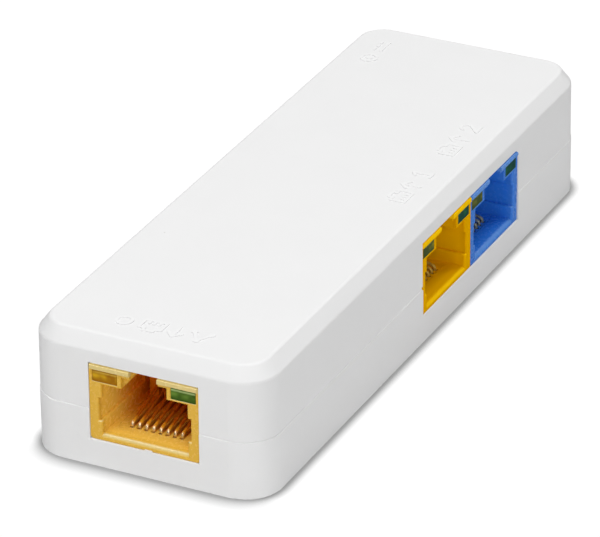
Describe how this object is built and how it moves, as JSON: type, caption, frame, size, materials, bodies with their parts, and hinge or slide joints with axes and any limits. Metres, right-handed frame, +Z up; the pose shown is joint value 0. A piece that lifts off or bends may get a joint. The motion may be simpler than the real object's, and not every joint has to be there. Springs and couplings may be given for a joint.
{
  "type": "inline ethernet adapter",
  "caption": "Small flat white case with RJ45 sockets, a golden one in one end and a yellow and a blue one in a long side, joined by a circuit board.",
  "frame": {"origin": "centre of the bounding box at the table", "axes": "+Z up, +Y along the case away from the end socket, +X towards the side with two sockets"},
  "size_m": [0.0336, 0.1, 0.0185],
  "materials": {
    "board": "solder mask",
    "capacitor_can": "bare can",
    "case_white": "satin moulded white plastic",
    "chip_black": "moulding compound",
    "chip_ceramic": "ceramic chips",
    "contact_gold": "gold-plated spring wire",
    "copper": "enamelled wire",
    "crystal_metal": "drawn can",
    "ferrite": "ferrite",
    "inlet_black": "black moulded plastic",
    "inlet_metal": "nickel-plated brass",
    "jack_blue": "blue moulded plastic",
    "jack_gold": "golden moulded plastic",
    "jack_yellow": "yellow moulded plastic",
    "label": "blank matte label",
    "led_amber": "unlit amber light pipe",
    "led_green": "unlit green light pipe",
    "led_olive": "unlit olive light pipe",
    "led_teal": "unlit green light pipe",
    "pin_tin": "tinned wire",
    "screw_steel": "zinc-plated steel"
  },
  "bodies": {
    "case": {"blank_label": "label", "bottom_cover": "case_white", "capacitors": "capacitor_can", "chip_parts": "chip_ceramic", "cover_screws": "screw_steel", "crystal_can": "crystal_metal", "dc_inlet_housing": "inlet_black", "dc_inlet_pin": "inlet_metal", "dc_inlet_spring": "inlet_metal", "main_board": "board", "port_1_contact_carrier": "jack_yellow", "port_1_contact_comb": "jack_yellow", "port_1_contact_leads": "contact_gold", "port_1_housing": "jack_yellow", "port_1_led_leads": "pin_tin", "port_1_led_left": "led_olive", "port_1_led_right": "led_teal", "port_1_transformer": "chip_black", "port_1_transformer_pins": "pin_tin", "port_2_contact_carrier": "jack_blue", "port_2_contact_comb": "jack_blue", "port_2_contact_leads": "contact_gold", "port_2_housing": "jack_blue", "port_2_led_leads": "pin_tin", "port_2_led_left": "led_olive", "port_2_led_right": "led_teal", "port_2_transformer": "chip_black", "port_2_transformer_pins": "pin_tin", "power_chip": "chip_black", "power_chip_pins": "pin_tin", "power_inductor_core": "ferrite", "power_inductor_winding": "copper", "rectifier_diodes": "chip_black", "switch_chip": "chip_black", "switch_chip_pins": "pin_tin", "top_cover": "case_white", "uplink_contact_carrier": "jack_gold", "uplink_contact_comb": "jack_gold", "uplink_contact_leads": "contact_gold", "uplink_housing": "jack_gold", "uplink_led_leads": "pin_tin", "uplink_led_left": "led_amber", "uplink_led_right": "led_green", "uplink_transformer": "chip_black", "uplink_transformer_pins": "pin_tin"},
    "uplink_contacts": {"uplink_contact_springs": "contact_gold"},
    "port_1_contacts": {"port_1_contact_springs": "contact_gold"},
    "port_2_contacts": {"port_2_contact_springs": "contact_gold"}
  },
  "joints": [
    {"name": "uplink_contacts_press", "type": "hinge", "parent": "case", "child": "uplink_contacts", "pos_m": [0.00005, -0.04581, 0.00546], "axis": [-1, 0, 0], "range_deg": [0, 11], "stiffness_Nm_per_rad": 0.05, "springref_deg": -6.88},
    {"name": "port_1_contacts_press", "type": "hinge", "parent": "case", "child": "port_1_contacts", "pos_m": [0.01261, 0.00455, 0.00546], "axis": [0, -1, 0], "range_deg": [0, 11], "stiffness_Nm_per_rad": 0.05, "springref_deg": -6.88},
    {"name": "port_2_contacts_press", "type": "hinge", "parent": "case", "child": "port_2_contacts", "pos_m": [0.01261, 0.02005, 0.00546], "axis": [0, -1, 0], "range_deg": [0, 11], "stiffness_Nm_per_rad": 0.05, "springref_deg": -6.88}
  ]
}
